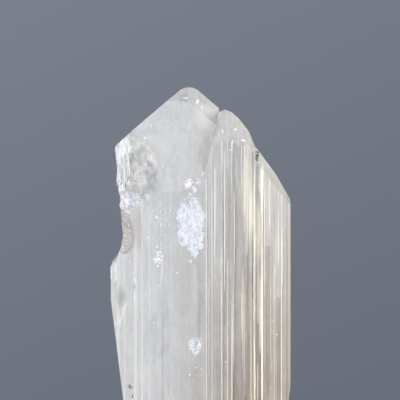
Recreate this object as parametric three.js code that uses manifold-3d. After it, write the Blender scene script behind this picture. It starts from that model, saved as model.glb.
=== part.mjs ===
// A danburite crystal: three parallel-grown chisel-tipped prisms, joined in one solid.
//
// Millimetres. +Z is the length of the prisms, +X is to the right of their smooth front face, which
// looks along -Y. The origin is the middle of the flat cut that the crystal stands on.
//
// Every growth face is placed by its Miller indices (h k l), so all slopes come from the three cell
// lengths. (1 0 0) is the front, (0 1 0) the right side, (0 0 1) the top. (h k 0) are prism faces,
// (0 1 1) is the chisel roof and (2 0 1) the steep tip face at the front.

import * as THREE from 'three';
import { mergeVertices } from 'three/addons/utils/BufferGeometryUtils.js';
import Module from 'manifold-3d';

const wasm = await Module();
wasm.setup();

// ---------------------------------------------------------------- driving dimensions

// Cell lengths of danburite in angstroms. Only their ratios matter here.
const CELL_A = 8.038; // along Y, front to back
const CELL_B = 8.752; // along X, side to side
const CELL_C = 7.73; // along Z, up the prism

const HEIGHT = 56; // cut base to highest tip
const HALF_WIDTH = 12.67; // side face to side face, across all three crystals
const HALF_DEPTH = 8; // front face to back face of the left crystal
const BLANK = 64; // length of a prism before its tip is cut
const OUTSIDE = 50; // a distance that is surely outside the crystal
const HALF_SPACE = 200; // side of the block that stands for everything beyond a plane

// The left crystal is the widest and tallest.
const LEFT = {
  side: [-1.5, 2.2], // front and back end of its left side face
  frontLeft: -7, // where the smooth front face begins
  frontRight: [0.8, -7.7], // where it ends
  backLeft: -7.2, // where the back face ends
  apexX: -1.62,
  apexHalfWidth: 1.18,
  apexDrop: 0.3, // how far the chisel edge is rounded off
  apexFlat: 0.5, // half width of what is left of the edge
  steepFoot: 42.1, // height at which the steep front tip face meets the front face
  steepFootBack: 44.6,
  facetFoot: 53.9, // lower edge of the small facet under the apex
};

const MIDDLE = {
  frontLeft: [0.6, -7.42],
  frontRight: [7.55, -5.85],
  tip: { x: 3.5, z: 52.6 },
  steepFoot: { y: -6.9, z: 48.5 },
  steepFootBack: { y: 6.9, z: 45 },
};

const RIGHT = {
  frontLeft: [7.4, -5.5],
  milkyLeft: [8.65, -5.05], // where its plainer, more turned front face begins
  milkyRight: [12.25, -3.1],
  side: [-2.5, 1.4],
  roof: { x: 10.36, z: 44 },
  steepFoot: { y: -5.3, z: 45 },
  steepFootBack: { y: 5, z: 41 },
};

// The lower part narrows on both sides: slope, and the height at which it starts.
const TAPER_LEFT = { slope: 0.13, top: 26 };
const TAPER_RIGHT = { slope: 0.16, top: 13.7 };

// The left part of the steep front tip face leans back a little more than the right part.
const TIP_STEP = { right: -2.7, y: -4.3, z: 49.2, lean: 0.06 };

// Growth layers, thin plates on the prism faces: span in X, span in Z and thickness.
const FRONT_LAYERS = [
  { x: [-1.65, -0.25], z: [20.6, 31.2], thick: 0.07 },
  { x: [-6.2, -5.3], z: [3, 24.5], thick: 0.05 },
  { x: [1.75, 2.35], z: [6.5, 30.4], thick: 0.1 },
  { x: [3.1, 3.5], z: [26.2, 44.5], thick: 0.09 },
  { x: [4.5, 5.1], z: [2, 19.6], thick: 0.1 },
  { x: [4.75, 5.3], z: [33.4, 46.2], thick: 0.12 },
  { x: [6.1, 6.5], z: [12.8, 37.6], thick: 0.1 },
  { x: [6.75, 7.15], z: [28.6, 44.9], thick: 0.1 },
  { x: [7.7, 8.2], z: [4, 22.8], thick: 0.12 },
  { x: [9.3, 9.75], z: [14.3, 33.5], thick: 0.1 },
  { x: [10.6, 11.2], z: [3.5, 26.3], thick: 0.08 },
];
const BACK_LAYERS = [
  { x: [-6, -4.9], z: [8, 41], thick: 0.1 },
  { x: [-0.6, 0.2], z: [14, 38.5], thick: 0.12 },
  { x: [2.2, 2.9], z: [5, 29.6], thick: 0.12 },
  { x: [5, 5.5], z: [18.4, 42], thick: 0.1 },
  { x: [8.6, 9.3], z: [6, 27.5], thick: 0.12 },
];
const LAYER_ROOT = 1.6; // how deep a layer reaches into the crystal under it
const LAYER_FLARE = 0.4; // how much wider it is there, on each side

// Small steps above the bruise: size, centre and turn in degrees.
const STEPS = [
  { size: [0.8, 0.5, 1.1], centre: [-1.75, -7.85, 42], turn: [20, 8, 12] },
  { size: [0.7, 0.5, 0.8], centre: [-0.85, -7.8, 41.6], turn: [-14, -12, -10] },
  { size: [0.6, 0.5, 0.7], centre: [-0.2, -7.72, 42.4], turn: [10, 20, 14] },
  { size: [0.6, 0.4, 0.6], centre: [-1.35, -7.88, 40.7], turn: [-18, 6, 16] },
];

// Shell-like fractures: centre and radii of the ball that bites, and how its surface is broken up.
const FINE = { detail: 9, ripple: 0.02 };
const BROAD = { detail: 1, lobes: 0.02, rough: 0.16 };
const SHELLS = [
  // front-left shoulder, under the left roof: a wide shell, one above and one towards the front
  { centre: [-12.2, -8.4, 44.6], radii: [6.6, 5.6, 7.2], ...FINE, waves: 26, rough: 0.015, seed: 3 },
  { centre: [-9.3, -8.1, 48.6], radii: [3.7, 3.6, 3.1], detail: 5, waves: 14, rough: 0.04, seed: 4 },
  { centre: [-7.6, -9.6, 41.5], radii: [2.4, 2.2, 3.4], detail: 4, waves: 14, rough: 0.04, seed: 6 },
  // left flank above the bite in the left edge
  { centre: [-13.5, 0, 44.6], radii: [1.65, 8, 5.6], ...FINE, detail: 5, waves: 18, rough: 0.03, seed: 8 },
  // scaly bite in the left edge, a smaller shell inside it, and a chip under it
  { centre: [-13.7, -1, 36.7], radii: [2.8, 8, 7], ...FINE, waves: 30, rough: 0.02, seed: 5 },
  { centre: [-13.1, -4.6, 38.6], radii: [2.5, 2.6, 3], detail: 5, waves: 18, rough: 0.04, seed: 9 },
  { centre: [-13.3, -4.2, 29.2], radii: [1.7, 2.6, 2.5], detail: 4, rough: 0.04, seed: 12 },
  // broad facets of two cleaner breaks on the lower left edge
  { centre: [-13.1, -5.9, 25.4], radii: [2.2, 3, 3.1], ...BROAD, seed: 14 },
  { centre: [-12.4, -7.1, 21.4], radii: [2, 2.6, 2.9], ...BROAD, seed: 15 },
  // nicks along the edges of the highest tip
  { centre: [-1.1, -1.9, 55], radii: [0.5, 0.4, 0.45], detail: 1, seed: 41 },
  { centre: [-2.6, -1.5, 55.2], radii: [0.4, 0.4, 0.3], detail: 1, seed: 42 },
  { centre: [2.4, -3.4, 52], radii: [0.35, 0.5, 0.6], detail: 1, seed: 43 },
  // the cut base is worn back at its corners
  { centre: [-9.4, -9.8, -1.8], radii: [5.2, 4.6, 5.6], detail: 4, seed: 31 },
  { centre: [13.2, -4.4, -2.6], radii: [3.6, 3.2, 6.4], detail: 4, seed: 33 },
  { centre: [8.6, 9.9, -2.2], radii: [5.4, 5.2, 6.2], detail: 4, seed: 34 },
];

// Splinters of the broken shoulder.
const SPLINTERS = { count: 9, left: -11.6, pitch: 0.3, z: 44, lean: 0.1, slant: -0.12, seed: 21 };

// Ovals of the front or back that are strewn with little facets or lumps. side is -1 for the front.
// hollow is the share of the oval, from its middle out, that stays smooth.
const FRONT_STREWN = { side: -1, hollow: 0 };
const BRUISE = {
  ...FRONT_STREWN, x: -1.4, z: 36.1, oval: [1.8, 3.8], count: 52, size: [0.4, 0.75], flat: 0.42, seed: 51,
};
const RING = {
  ...FRONT_STREWN, x: -0.7, z: 19.8, oval: [0.7, 1.35], count: 13, size: [0.2, 0.34], flat: 0.5, hollow: 0.7,
  seed: 52,
};
const SCALES = {
  ...FRONT_STREWN, x: -10.6, z: 36.4, oval: [0.75, 2.7], count: 16, size: [0.35, 0.6], flat: 0.5, seed: 53,
};
const CURL = {
  ...FRONT_STREWN, x: -9.9, z: 39.6, oval: [1.35, 0.9], count: 12, size: [0.35, 0.6], flat: 0.7, seed: 54,
};
const BACK_SCAR = {
  side: 1, hollow: 0, x: -4.2, z: 20, oval: [2.1, 5.2], count: 40, size: [0.5, 1.1], flat: 0.4, seed: 55,
};

// The worn rim of the cut base.
const RIM = { count: 46, size: [0.5, 1.15], outward: 0.35, seed: 61 };

// ---------------------------------------------------------------- helpers

// Repeatable pseudo-random numbers from 0 to 1.
function seeded(seed) {
  let state = seed;
  return () => {
    state = (state + 0x6d2b79f5) | 0;
    let mixed = Math.imul(state ^ (state >>> 15), 1 | state);
    mixed = (mixed + Math.imul(mixed ^ (mixed >>> 7), 61 | mixed)) ^ mixed;
    return ((mixed ^ (mixed >>> 14)) >>> 0) / 2 ** 32;
  };
}

function between(random, low, high) {
  return low + (high - low) * random();
}

function sum(values) {
  return values.reduce((total, value) => total + value, 0);
}

function direction(x, y, z) {
  return new THREE.Vector3(x, y, z).normalize();
}

// The geometry with only its positions kept, and one vertex where faces meet.
function welded(geometry) {
  geometry.deleteAttribute('normal');
  geometry.deleteAttribute('uv');
  return mergeVertices(geometry, 1e-5);
}

// A closed mesh as a solid that can be joined and cut.
function toSolid(geometry) {
  const merged = welded(geometry);
  return new wasm.Manifold(
    new wasm.Mesh({
      numProp: 3,
      vertProperties: Float32Array.from(merged.attributes.position.array),
      triVerts: Uint32Array.from(merged.index.array),
    }),
  );
}

function toGeometry(solid) {
  const mesh = solid.getMesh();
  const geometry = new THREE.BufferGeometry();
  geometry.setAttribute('position', new THREE.BufferAttribute(mesh.vertProperties, 3));
  geometry.setIndex(new THREE.BufferAttribute(mesh.triVerts, 1));
  return geometry;
}

// Outward normal of the growth face (h k l).
function faceNormal(h, k, l) {
  return direction(k / CELL_B, -h / CELL_A, l / CELL_C);
}

// What lies outside the plane through `point` with outward normal `normal`.
function beyond(normal, point) {
  const block = new THREE.BoxGeometry(HALF_SPACE, HALF_SPACE, HALF_SPACE);
  block.translate(0, 0, HALF_SPACE / 2);
  block.applyQuaternion(new THREE.Quaternion().setFromUnitVectors(new THREE.Vector3(0, 0, 1), normal));
  block.translate(point[0], point[1], point[2]);
  return toSolid(block);
}

function cutByPlanes(solid, planes) {
  return planes.reduce((rest, [normal, point]) => rest.subtract(beyond(normal, point)), solid);
}

// A prism along Z with the given plan outline.
function prism(outline, low, high) {
  const shape = new THREE.Shape(outline.map(([x, y]) => new THREE.Vector2(x, y)));
  const geometry = new THREE.ExtrudeGeometry(shape, { depth: high - low, bevelEnabled: false });
  geometry.translate(0, 0, low);
  return toSolid(geometry);
}

// The direction in which a prism face (h k 0) runs, walking anticlockwise seen from above.
function runOf([h, k]) {
  const normal = faceNormal(h, k, 0);
  return new THREE.Vector2(-normal.y, normal.x);
}

// A striated stretch of an outline: flat treads joined by narrow risers, both true prism faces.
// The shares say how the whole stretch from start to end is divided between treads and risers.
function staircase(start, end, tread, riser, treadShares, riserShares) {
  const along = runOf(tread);
  const across = runOf(riser);
  const way = new THREE.Vector2(end[0] - start[0], end[1] - start[1]);
  const treadUnit = way.cross(across) / along.cross(across) / sum(treadShares);
  const riserUnit = along.cross(way) / along.cross(across) / sum(riserShares);
  const corner = new THREE.Vector2(start[0], start[1]);
  const points = [start];
  treadShares.forEach((share, index) => {
    corner.addScaledVector(along, treadUnit * share);
    points.push(corner.toArray());
    corner.addScaledVector(across, riserUnit * riserShares[index]);
    points.push(corner.toArray());
  });
  return points;
}

// ---------------------------------------------------------------- the three crystals

function leftOutline() {
  const sideFront = [-HALF_WIDTH, LEFT.side[0]];
  const sideBack = [-HALF_WIDTH, LEFT.side[1]];
  const frontLeft = [LEFT.frontLeft, -HALF_DEPTH];
  const backLeft = [LEFT.backLeft, HALF_DEPTH];
  return [
    ...staircase(sideFront, frontLeft, [1, -1], [1, -2], [3, 2, 4, 2, 3], [4, 2, 5, 2, 1]),
    ...staircase(frontLeft, LEFT.frontRight, [1, 0], [1, 1], [13, 5, 7, 38, 15], [2, 1, 2, 3, 4]),
    [2.6, -2.9],
    [2.6, 3],
    [0.6, 7.6],
    ...staircase([0.4, 7.7], backLeft, [-1, 0], [-1, 1], [20, 8, 22, 6], [3, 2, 3, 2]),
    ...staircase(backLeft, sideBack, [-1, -1], [-1, -2], [3, 5, 2, 4, 3], [2, 4, 2, 3, 3]),
  ];
}

function leftCrystal() {
  const roofZ = HEIGHT - LEFT.apexDrop;
  const steepRise = (2 * CELL_C) / CELL_A;
  const facetFront = -HALF_DEPTH + (LEFT.facetFoot - LEFT.steepFoot) / steepRise;
  return cutByPlanes(prism(leftOutline(), 0, BLANK), [
    [faceNormal(0, 0, 1), [0, 0, HEIGHT]],
    [faceNormal(0, -1, 1), [LEFT.apexX - LEFT.apexHalfWidth, 0, roofZ]],
    [faceNormal(0, 1, 1), [LEFT.apexX + LEFT.apexHalfWidth, 0, roofZ]],
    [faceNormal(0, 1, 2), [LEFT.apexX + LEFT.apexFlat, 0, HEIGHT]],
    [faceNormal(0, -1, 2), [LEFT.apexX - LEFT.apexFlat, 0, HEIGHT]],
    [faceNormal(2, 0, 1), [0, -HALF_DEPTH, LEFT.steepFoot]],
    [faceNormal(1, 0, 1), [0, facetFront, LEFT.facetFoot]],
    [faceNormal(2, 1, 2), [2.05, -2.95, 51.2]],
    [faceNormal(-2, 0, 1), [0, HALF_DEPTH, LEFT.steepFootBack]],
    [faceNormal(-2, -1, 1), [-9.6, 6.1, 43]],
  ]);
}

// Its striae are the strongest. The (0 -5 1) flank leans away from the tip of the left crystal.
function middleCrystal() {
  const treads = [9, 13, 7, 5, 12, 3, 8, 4];
  const risers = [10, 12, 6, 16, 8, 10, 6, 12];
  const outline = [
    [-3, -6.8],
    [0.5, -7.42],
    ...staircase(MIDDLE.frontLeft, MIDDLE.frontRight, [1, 0], [1, 2], treads, risers),
    [8.3, -4.3],
    [8.3, 4],
    [7, 6.2],
    ...staircase([6.9, 6.3], [0.2, 7.5], [-1, 0], [-1, 2], [6, 10, 4, 12, 8, 5], [3, 5, 2, 6, 3, 4]),
    [-3, 6.8],
  ];
  const { tip, steepFoot, steepFootBack } = MIDDLE;
  return cutByPlanes(prism(outline, 0, BLANK), [
    [faceNormal(0, 0, 1), [0, 0, tip.z]],
    [faceNormal(0, -1, 2), [tip.x - 0.2, 0, tip.z]],
    [faceNormal(0, 1, 2), [tip.x + 0.1, 0, tip.z]],
    [faceNormal(0, 1, 1), [tip.x + 0.65, 0, tip.z - 0.12]],
    [faceNormal(0, 3, 2), [tip.x + 2.25, 0, tip.z - 1.65]],
    [faceNormal(0, 3, 1), [tip.x + 3.25, 0, tip.z - 2.95]],
    [faceNormal(2, 0, 1), [0, steepFoot.y, steepFoot.z]],
    [faceNormal(2, 1, 1), [6.9, -6.05, 47.2]],
    [faceNormal(-2, 0, 1), [0, steepFootBack.y, steepFootBack.z]],
    [faceNormal(0, -5, 1), [tip.x - 1.9, 0, tip.z - 4.5]],
  ]);
}

function rightCrystal() {
  const outline = [
    [4, -5],
    [7.3, -5.5],
    ...staircase(RIGHT.frontLeft, RIGHT.milkyLeft, [1, 0], [1, 2], [5, 6], [3, 5]),
    ...staircase(RIGHT.milkyLeft, RIGHT.milkyRight, [2, 1], [1, 2], [10, 6, 10, 8], [5, 2, 4, 3]),
    [HALF_WIDTH, RIGHT.side[0]],
    [HALF_WIDTH, RIGHT.side[1]],
    [11.5, 3.3],
    ...staircase([11.4, 3.4], [6.2, 6], [-2, 1], [-1, 2], [6, 9, 5, 10], [3, 4, 2, 4]),
    [4, 5],
  ];
  const { roof, steepFoot, steepFootBack } = RIGHT;
  return cutByPlanes(prism(outline, 0, BLANK), [
    [faceNormal(0, 3, 2), [roof.x, 0, roof.z]],
    [faceNormal(0, 1, 1), [roof.x - 2.26, 0, roof.z + 3.05]],
    [faceNormal(1, 2, 1), [9.66, -4.6, 42.8]],
    [faceNormal(2, 0, 1), [0, steepFoot.y, steepFoot.z]],
    [faceNormal(-2, 0, 1), [0, steepFootBack.y, steepFootBack.z]],
    [faceNormal(-1, 2, 1), [10.6, 4, 38]],
  ]);
}

// What the steep front tip face loses on its left, up to a low riser.
function tipStep() {
  const normal = faceNormal(2, 0, 1).applyAxisAngle(new THREE.Vector3(1, 0, 0), TIP_STEP.lean);
  const riser = [direction(1, 0, 0.22), [TIP_STEP.right, 0, 43]];
  return cutByPlanes(beyond(normal, [0, TIP_STEP.y, TIP_STEP.z]), [riser]);
}

function threeCrystals() {
  const grown = leftCrystal().subtract(tipStep()).add(middleCrystal()).add(rightCrystal());
  return cutByPlanes(grown, [
    [direction(-1, 0, -TAPER_LEFT.slope), [-HALF_WIDTH, 0, TAPER_LEFT.top]],
    [direction(1, 0, -TAPER_RIGHT.slope), [HALF_WIDTH, 0, TAPER_RIGHT.top]],
  ]);
}

// ---------------------------------------------------------------- layers and steps on the faces

// A function that says where a straight line from outside first meets the solid.
function surfaceFinder(solid) {
  const target = new THREE.Mesh(toGeometry(solid), new THREE.MeshBasicMaterial({ side: THREE.DoubleSide }));
  const caster = new THREE.Raycaster();
  return (from, toward) => {
    caster.set(new THREE.Vector3(...from), new THREE.Vector3(...toward));
    return caster.intersectObject(target)[0].point;
  };
}

// Y of the surface at (x, z), on the front where side is -1 and on the back where it is 1.
function surfaceY(findSurface, x, z, side) {
  return findSurface([x, side * OUTSIDE, z], [0, -side, 0]).y;
}

// A layer lies on the prism face that it grew on and ends in slanting edges.
function growthLayer({ x, z, thick }, side, findSurface) {
  const middle = sum(x) / 2;
  const face = surfaceY(findSurface, middle, sum(z) / 2, side) + side * thick;
  const root = face - side * LAYER_ROOT;
  const outline = [
    [x[0], face],
    [x[1], face],
    [x[1] + LAYER_FLARE, root],
    [x[0] - LAYER_FLARE, root],
  ];
  if (side > 0) {
    outline.reverse();
  }
  return cutByPlanes(prism(outline, z[0] - 1, z[1] + 1), [
    [direction(0.5, side * 0.6, 1), [middle, face, z[1]]],
    [direction(-0.3, side * 0.8, -1), [middle, face, z[0]]],
  ]);
}

function step({ size, centre, turn }) {
  const geometry = new THREE.BoxGeometry(size[0], size[1], size[2]);
  geometry.rotateZ(THREE.MathUtils.degToRad(turn[2]));
  geometry.rotateY(THREE.MathUtils.degToRad(turn[1]));
  geometry.rotateX(THREE.MathUtils.degToRad(turn[0]));
  geometry.translate(centre[0], centre[1], centre[2]);
  return toSolid(geometry);
}

// ---------------------------------------------------------------- breaks

// A rippled, uneven ball. What it bites off the crystal leaves a shell-like fracture: ripples run
// in rings round one pole, lobes make its rim wander, and roughness tilts each small facet.
function shell({ centre, radii, detail, ripple = 0.03, waves = 16, lobes = 0.1, rough = 0.05, seed }) {
  const random = seeded(seed);
  const ball = welded(new THREE.IcosahedronGeometry(1, detail));
  const position = ball.attributes.position;
  const pole = direction(random() - 0.5, random() - 0.5, random());
  const phase = [between(random, 0, 6), between(random, 0, 6), between(random, 0, 6)];
  const point = new THREE.Vector3();
  for (let index = 0; index < position.count; index += 1) {
    point.fromBufferAttribute(position, index);
    const rings = ripple * Math.sin(point.angleTo(pole) * waves);
    const lobeX = Math.sin(5 * point.x + phase[0]);
    const lobeY = Math.sin(4 * point.y + phase[1]);
    const lobeZ = Math.sin(6 * point.z + phase[2]);
    const swell = 1 + rings + (lobes / 2) * (lobeX + lobeY + lobeZ) + rough * (random() - 0.5);
    point.multiplyScalar(swell);
    position.setXYZ(index, point.x * radii[0], point.y * radii[1], point.z * radii[2]);
  }
  ball.translate(centre[0], centre[1], centre[2]);
  return toSolid(ball);
}

// Long narrow wedges, cut out side by side so that splinters stand between them.
function splinterGrooves({ count, left, pitch, z, lean, slant, seed }, findSurface) {
  const random = seeded(seed);
  const grooves = [];
  for (let index = 0; index < count; index += 1) {
    const grooveX = left + pitch * (index + between(random, -0.2, 0.2));
    const grooveZ = z + between(random, -1, 1);
    const wedge = new THREE.OctahedronGeometry(1, 0);
    wedge.scale(between(random, 0.16, 0.28), between(random, 0.35, 0.7), between(random, 2.2, 4));
    wedge.rotateX(lean);
    wedge.rotateY(slant + between(random, -0.06, 0.06));
    wedge.translate(grooveX, surfaceY(findSurface, grooveX, grooveZ, -1), grooveZ);
    grooves.push(toSolid(wedge));
  }
  return wasm.Manifold.union(grooves);
}

// A small twenty-sided pebble, turned at random.
function tumbledPebble(random, size) {
  const geometry = new THREE.IcosahedronGeometry(between(random, size[0], size[1]), 0);
  geometry.rotateX(between(random, 0, 3));
  geometry.rotateZ(between(random, 0, 3));
  return geometry;
}

// Pebbles strewn over an oval, half sunk: cut away they leave a bruise of little facets, and
// joined on they are a crust of lumps.
function strewn({ side, hollow, x, z, oval, count, size, flat, seed }, findSurface) {
  const random = seeded(seed);
  const pebbles = [];
  while (pebbles.length < count) {
    const angle = between(random, 0, 2 * Math.PI);
    const reach = Math.sqrt(between(random, hollow * hollow, 1));
    const pebbleX = x + oval[0] * reach * Math.cos(angle);
    const pebbleZ = z + oval[1] * reach * Math.sin(angle);
    const pebble = tumbledPebble(random, size);
    pebble.scale(1, flat, between(random, 1, 1.5));
    pebble.translate(pebbleX, surfaceY(findSurface, pebbleX, pebbleZ, side), pebbleZ);
    pebbles.push(toSolid(pebble));
  }
  return wasm.Manifold.union(pebbles);
}

// Uneven chips broken off all round the rim of the cut base.
function rimChips({ count, size, outward, seed }, findSurface) {
  const random = seeded(seed);
  const chips = [];
  for (let index = 0; index < count; index += 1) {
    const angle = (2 * Math.PI * (index + between(random, -0.4, 0.4))) / count;
    const [outX, outY] = [Math.cos(angle), Math.sin(angle)];
    const rim = findSurface([OUTSIDE * outX, OUTSIDE * outY, 0.2], [-outX, -outY, 0]);
    const chip = tumbledPebble(random, size);
    chip.scale(between(random, 0.8, 1.6), between(random, 0.8, 1.6), between(random, 0.5, 1.3));
    chip.translate(rim.x + outX * outward, rim.y + outY * outward, between(random, -0.4, 0.2));
    chips.push(toSolid(chip));
  }
  return wasm.Manifold.union(chips);
}

// A cut can leave a loose crumb between two chips. Only the crystal itself is kept.
function withoutCrumbs(solid) {
  return solid.decompose().reduce((largest, body) => (body.volume() > largest.volume() ? body : largest));
}

// ---------------------------------------------------------------- the whole crystal

function crystal() {
  let solid = threeCrystals();
  const smooth = surfaceFinder(solid);
  for (const layer of FRONT_LAYERS) {
    solid = solid.add(growthLayer(layer, -1, smooth));
  }
  for (const layer of BACK_LAYERS) {
    solid = solid.add(growthLayer(layer, 1, smooth));
  }
  for (const bite of SHELLS) {
    solid = solid.subtract(shell(bite));
  }
  for (const block of STEPS) {
    solid = solid.add(step(block));
  }
  const broken = surfaceFinder(solid);
  solid = solid.subtract(splinterGrooves(SPLINTERS, broken));
  for (const oval of [BRUISE, RING, SCALES, BACK_SCAR]) {
    solid = solid.subtract(strewn(oval, broken));
  }
  solid = solid.add(strewn(CURL, broken));
  solid = solid.subtract(rimChips(RIM, surfaceFinder(solid)));
  return withoutCrumbs(solid);
}

// The origin ends up under the middle of the crystal's box.
function centred(geometry) {
  geometry.computeBoundingBox();
  const middle = geometry.boundingBox.getCenter(new THREE.Vector3());
  return geometry.translate(-middle.x, -middle.y, 0);
}

const milkyDanburite = new THREE.MeshStandardMaterial({
  color: 0xc9ccce,
  roughness: 0.2,
  metalness: 0,
  transparent: true,
  opacity: 0.6,
});

const mesh = new THREE.Mesh(centred(toGeometry(crystal())), milkyDanburite);
mesh.name = 'danburite_crystal';

const group = new THREE.Group();
group.add(mesh);

export default group;
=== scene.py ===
"""A danburite crystal: fine striae, broken surfaces, specks and a milky, see-through finish.

Metres. +Z runs up the prisms, and the smooth front face looks along -Y.
"""

import collections
import functools
import heapq
import itertools
import math

import bmesh
import bpy
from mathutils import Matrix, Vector, noise


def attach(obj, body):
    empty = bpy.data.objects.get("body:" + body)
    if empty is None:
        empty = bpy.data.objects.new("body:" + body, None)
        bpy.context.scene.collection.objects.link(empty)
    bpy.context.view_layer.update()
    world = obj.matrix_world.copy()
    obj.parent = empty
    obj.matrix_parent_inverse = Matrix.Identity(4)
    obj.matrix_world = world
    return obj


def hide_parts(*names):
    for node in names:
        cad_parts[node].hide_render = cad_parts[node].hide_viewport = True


bl_info = {
    "name": "Danburite Crystal",
    "version": (1, 0, 0),
    "blender": (4, 5, 0),
    "location": "3D View > Sidebar > Danburite",
    "description": "Builds a danburite crystal with striae, breaks, specks and a milky finish",
    "category": "Add Mesh",
}

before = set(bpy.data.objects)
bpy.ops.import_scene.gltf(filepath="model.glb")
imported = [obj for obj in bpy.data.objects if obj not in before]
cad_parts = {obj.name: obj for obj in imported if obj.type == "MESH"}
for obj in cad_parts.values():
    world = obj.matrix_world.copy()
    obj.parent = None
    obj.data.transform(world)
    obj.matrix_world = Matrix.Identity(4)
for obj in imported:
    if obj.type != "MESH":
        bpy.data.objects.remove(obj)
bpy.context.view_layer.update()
NODE = "danburite_crystal"
CRYSTAL = "grown_together_crystals"
MM = 0.001
OUTSIDE = 50  # millimetres from the crystal's axis to where the rays that look for its surface start

# Cell lengths of danburite, in angstroms: along Y, X and Z. They give every growth direction.
CELL_A, CELL_B, CELL_C = 8.038, 8.752, 7.73

# Finishes of the crystal's surface, in the order of its material slots. The riser finish is a painted
# highlight.
GROWN, RISER, GLASSY, FIBROUS, FROSTED, STAINED = range(6)

# Broken places: the finish, then centre and radii in millimetres, and whether grown faces there are broken
# too. The first that holds a face decides.
BREAKS = [
    (FIBROUS, (-11.3, -5.0, 45.3), (1.75, 6.0, 4.4), True),  # splinters on the shoulder
    (FROSTED, (-10.0, -5.5, 39.5), (2.2, 4.5, 1.6), True),  # lumpy foot of the shoulder
    (STAINED, (-11.4, -3.5, 35.9), (2.6, 6.5, 3.6), False),  # scaly bite
    (FIBROUS, (-12.4, -3.6, 29.9), (1.1, 3.4, 1.7), True),  # chip on the left edge
    (FROSTED, (-0.85, -8.0, 36.2), (1.3, 1.6, 4.1), True),  # bruise on the front
    (FROSTED, (-1.4, -8.0, 36.1), (2.8, 1.6, 4.9), False),  # crumbs round it
    (GLASSY, (-1.0, -8.0, 41.7), (1.8, 1.2, 1.9), False),  # small steps above it
    (GLASSY, (-0.65, -8.0, 19.9), (0.4, 1.2, 0.95), True),  # clearer middle of the ring
    (FROSTED, (-0.7, -8.0, 19.9), (0.85, 1.2, 1.6), True),  # ring
    (FROSTED, (-4.2, 8.0, 20.0), (3.2, 1.6, 6.4), False),  # scar on the back
    (GLASSY, (-10.5, -6.5, 44.5), (5.6, 5.5, 8.0), False),  # shell of the left shoulder
    (GLASSY, (-12.5, 0.0, 40.0), (2.2, 9.5, 11.5), False),  # left flank
    (GLASSY, (-12.0, -5.5, 24.5), (3.2, 5.0, 7.0), False),  # lower left edge
    (GLASSY, (-1.1, -1.9, 54.0), (4.5, 3.5, 3.0), False),  # nicks on the highest tip
    (GLASSY, (0.5, 0.0, -0.4), (14.5, 10.0, 2.6), False),  # chipped rim of the base
]

# The relief of each broken finish: longest edge of a face, rounds of smoothing, height, and the size of one
# facet, in millimetres.
RELIEFS = {
    GLASSY: (0.36, 14, 0.04, (1.2, 1.2, 1.2)),
    FIBROUS: (0.22, 14, 0.10, (0.3, 0.5, 3.0)),
    FROSTED: (0.15, 30, 0.05, (0.25, 0.25, 0.7)),
    STAINED: (0.22, 10, 0.06, (0.5, 0.5, 0.35)),
}
TIP_EDGE = 0.6  # longest edge in millimetres where a tip is softened

# The vector noise that makes the rims and scoops ragged. Without a seed it would differ in every run.
RAGGED_SEED = 3
RAGGED_SIZES = (0.6, 0.25)  # how far apart the rims' bays are, in millimetres
RAGGED_REACH = 0.3  # how far they reach, in millimetres

# Worn tips, whose edges are rounded: centre and radii in millimetres, and rounds of smoothing.
WORN_TIPS = [
    ((-3.4, -8.5, 50.5), (6.8, 6.0, 9.0), 16),
    ((4.2, -7.5, 49.6), (3.6, 5.0, 3.4), 8),
]

RISER_SPANS = [(-12.0, -7.0), (0.5, 7.45), (8.35, 12.0)]  # where the risers carry the painted highlight of their finish, in millimetres
RISER_START = 1  # and how far above the cut that painted highlight starts

# Deeper risers: right foot of the riser, extra depth, width, lower and upper end, in millimetres.
DEEP_RISERS = [
    (0.91, 0.10, 0.42, 22.0, 45.0),
    (1.61, 0.24, 0.85, 3.2, 46.0),
    (3.03, 0.20, 0.55, 3.2, 42.0),
    (3.80, 0.07, 0.40, 3.2, 27.0),
    (4.47, 0.30, 0.80, 3.2, 46.0),
    (5.75, 0.10, 0.26, 18.0, 47.0),
    (7.02, 0.20, 0.36, 3.2, 42.5),
    (8.65, 0.20, 0.55, 3.2, 45.5),
    (9.84, 0.07, 0.40, 16.0, 32.0),
]

# Scoops broken out of the grown faces: finish, centre and radii in millimetres, ripple height and seed.
SCOOPS = [
    (STAINED, (-12.1, -5.3, 35.5), (2.7, 2.75, 5.1), 0.05, 1),  # scaly fracture in the left edge
    (FIBROUS, (-9.25, -6.0, 27.8), (0.45, 1.25, 2.9), 0.06, 2),  # white streak
]

# Fine striae: joined or cut, finish, how many, seed, side (-1 front, 1 back), then left, right, low, high,
# shortest, longest, width and relief in millimetres.
STRIAE = [
    ("UNION", GROWN, 46, 10, -1, 0.9, 12.2, 6, 46, 8, 34, 0.3, 0.05),
    ("DIFFERENCE", GROWN, 46, 20, -1, 0.9, 12.2, 6, 46, 8, 34, 0.3, 0.05),
    ("UNION", GROWN, 9, 30, -1, -7.6, -2.6, 4, 36, 6, 26, 0.5, 0.02),
    ("DIFFERENCE", GROWN, 60, 40, 1, -8.5, 10.5, 4, 46, 6, 30, 0.4, 0.07),
    ("UNION", GROWN, 60, 50, 1, -8.5, 10.5, 4, 46, 6, 30, 0.4, 0.07),
    # Ridges with the riser finish: thin lines of painted highlight.
    ("UNION", RISER, 1, 61, -1, 1.16, 1.16, 29, 29, 32, 32, 0.16, 0.2),
    ("UNION", RISER, 1, 63, -1, 1.98, 1.98, 38.5, 38.5, 15, 15, 0.2, 0.24),
    ("UNION", RISER, 1, 65, -1, 3.34, 3.34, 37, 37, 20, 20, 0.18, 0.2),
    ("UNION", RISER, 1, 67, -1, 4.68, 4.68, 38, 38, 20, 20, 0.18, 0.22),
    ("UNION", RISER, 12, 70, -1, 5.0, 11.6, 10, 42, 5, 20, 0.16, 0.16),
]

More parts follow.
